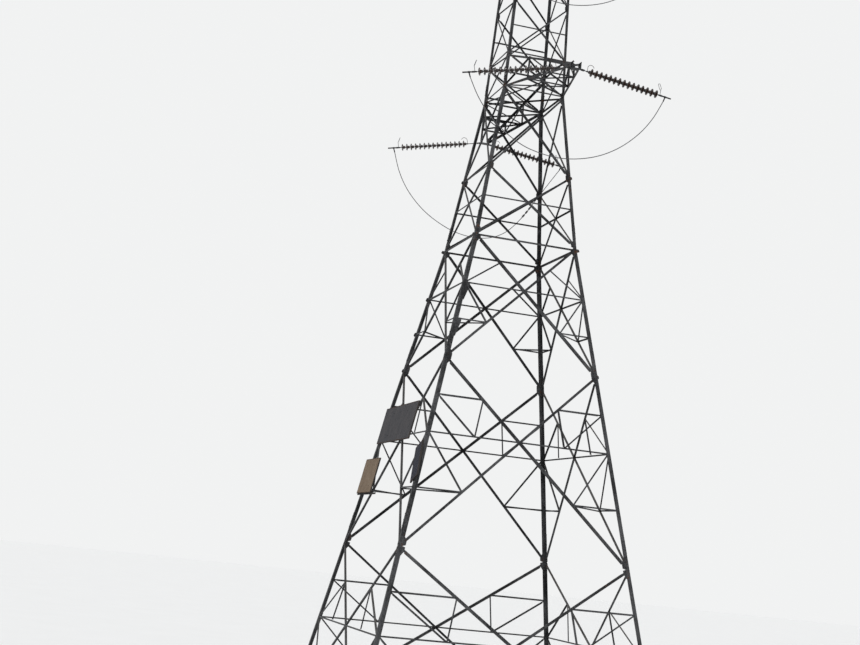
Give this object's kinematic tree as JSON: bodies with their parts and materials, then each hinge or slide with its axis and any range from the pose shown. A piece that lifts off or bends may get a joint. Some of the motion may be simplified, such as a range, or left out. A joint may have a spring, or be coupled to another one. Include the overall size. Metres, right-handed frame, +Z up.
{
  "type": "lattice transmission pylon",
  "caption": "Lattice steel tension pylon for one circuit of an overhead line, with two arms on the front and one on the back, tension insulator strings, hanging jumper loops and an earth wire peak.",
  "frame": {"origin": "on the ground at the centre between the four footings", "axes": "+Z up; +X toward the front, where two of the three arms are; the line runs along Y, +Y on the right seen from the front"},
  "size_m": [10.52, 10.52, 32.952],
  "materials": {
    "galvanised_steel": "weathered galvanised angle steel, dull dark grey",
    "concrete": "cast concrete, weathered",
    "insulator_glaze": "dark brown glazed porcelain",
    "conductor_aluminium": "weathered stranded aluminium",
    "fitting_steel": "galvanised forged fittings",
    "board_blue": "faded blue-grey sheet",
    "board_tan": "faded tan sheet",
    "board_dark": "dark blue sheet"
  },
  "bodies": {
    "root": {"footings": "concrete", "leg_front_right": "galvanised_steel", "leg_back_right": "galvanised_steel", "leg_back_left": "galvanised_steel", "leg_front_left": "galvanised_steel", "base_bracing_front": "galvanised_steel", "base_bracing_right": "galvanised_steel", "base_bracing_back": "galvanised_steel", "base_bracing_left": "galvanised_steel", "body_bracing_front": "galvanised_steel", "body_bracing_right": "galvanised_steel", "body_bracing_back": "galvanised_steel", "body_bracing_left": "galvanised_steel", "waist_bracing_front": "galvanised_steel", "waist_bracing_right": "galvanised_steel", "waist_bracing_back": "galvanised_steel", "waist_bracing_left": "galvanised_steel", "cage_bracing_front": "galvanised_steel", "cage_bracing_right": "galvanised_steel", "cage_bracing_back": "galvanised_steel", "cage_bracing_left": "galvanised_steel", "earth_wire_peak": "galvanised_steel", "arm_front_lower": "galvanised_steel", "arm_front_upper": "galvanised_steel", "arm_back": "galvanised_steel", "plan_bracing_waist": "galvanised_steel", "plan_bracing_cage": "galvanised_steel", "insulators_front_lower": "insulator_glaze", "insulators_front_upper": "insulator_glaze", "insulators_back": "insulator_glaze", "fittings_front_lower": "fitting_steel", "fittings_front_upper": "fitting_steel", "fittings_back": "fitting_steel", "jumper_front_lower": "conductor_aluminium", "jumper_front_upper": "conductor_aluminium", "jumper_back": "conductor_aluminium", "earth_wire_clamps": "galvanised_steel", "sign_large": "board_blue", "sign_tan": "board_tan", "sign_narrow": "board_dark"}
  },
  "joints": []
}
